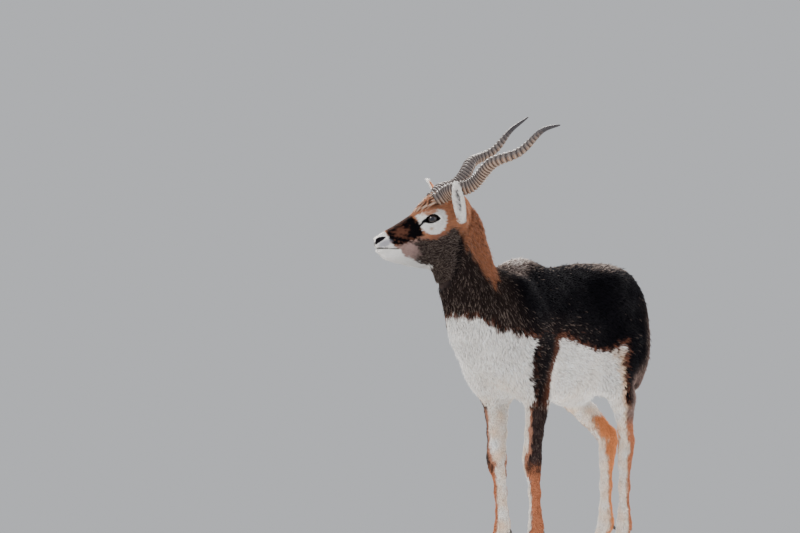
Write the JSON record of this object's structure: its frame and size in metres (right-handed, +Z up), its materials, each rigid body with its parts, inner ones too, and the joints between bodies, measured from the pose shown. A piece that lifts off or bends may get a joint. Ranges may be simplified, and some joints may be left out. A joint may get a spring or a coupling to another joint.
{
  "type": "blackbuck",
  "caption": "Life-size standing male blackbuck antelope with long ringed spiral horns, dark back, white belly and its head turned to one side; a still model.",
  "frame": {"origin": "on the floor, under the middle of the box round the whole animal", "axes": "+Z up, the body along Y with the chest towards -Y, +X the animal's left; the head is turned 42 degrees to its right"},
  "size_m": [0.4544, 1.0426, 1.1835],
  "materials": {
    "dark_coat": "short dark brown winter fur",
    "tan_coat": "short orange-brown fur",
    "pale_coat": "short white fur",
    "horn": "ridged horn, satin, smooth at the tips",
    "hoof": "dark satin hoof horn",
    "eye": "wet gloss"
  },
  "bodies": {
    "root": {"ear_left": "pale_coat", "ear_right": "pale_coat", "eye_left": "eye", "eye_right": "eye", "foreleg_left_dewclaw_inner": "hoof", "foreleg_left_dewclaw_outer": "hoof", "foreleg_left_hoof_inner": "hoof", "foreleg_left_hoof_outer": "hoof", "foreleg_left_lower": "pale_coat", "foreleg_left_upper": "pale_coat", "foreleg_right_dewclaw_inner": "hoof", "foreleg_right_dewclaw_outer": "hoof", "foreleg_right_hoof_inner": "hoof", "foreleg_right_hoof_outer": "hoof", "foreleg_right_lower": "pale_coat", "foreleg_right_upper": "pale_coat", "head": "tan_coat", "hindleg_left_dewclaw_inner": "hoof", "hindleg_left_dewclaw_outer": "hoof", "hindleg_left_hoof_inner": "hoof", "hindleg_left_hoof_outer": "hoof", "hindleg_left_lower": "pale_coat", "hindleg_left_upper": "pale_coat", "hindleg_right_dewclaw_inner": "hoof", "hindleg_right_dewclaw_outer": "hoof", "hindleg_right_hoof_inner": "hoof", "hindleg_right_hoof_outer": "hoof", "hindleg_right_lower": "pale_coat", "hindleg_right_upper": "pale_coat", "horn_left": "horn", "horn_right": "horn", "neck": "dark_coat", "tail": "dark_coat", "torso": "dark_coat"}
  },
  "joints": []
}
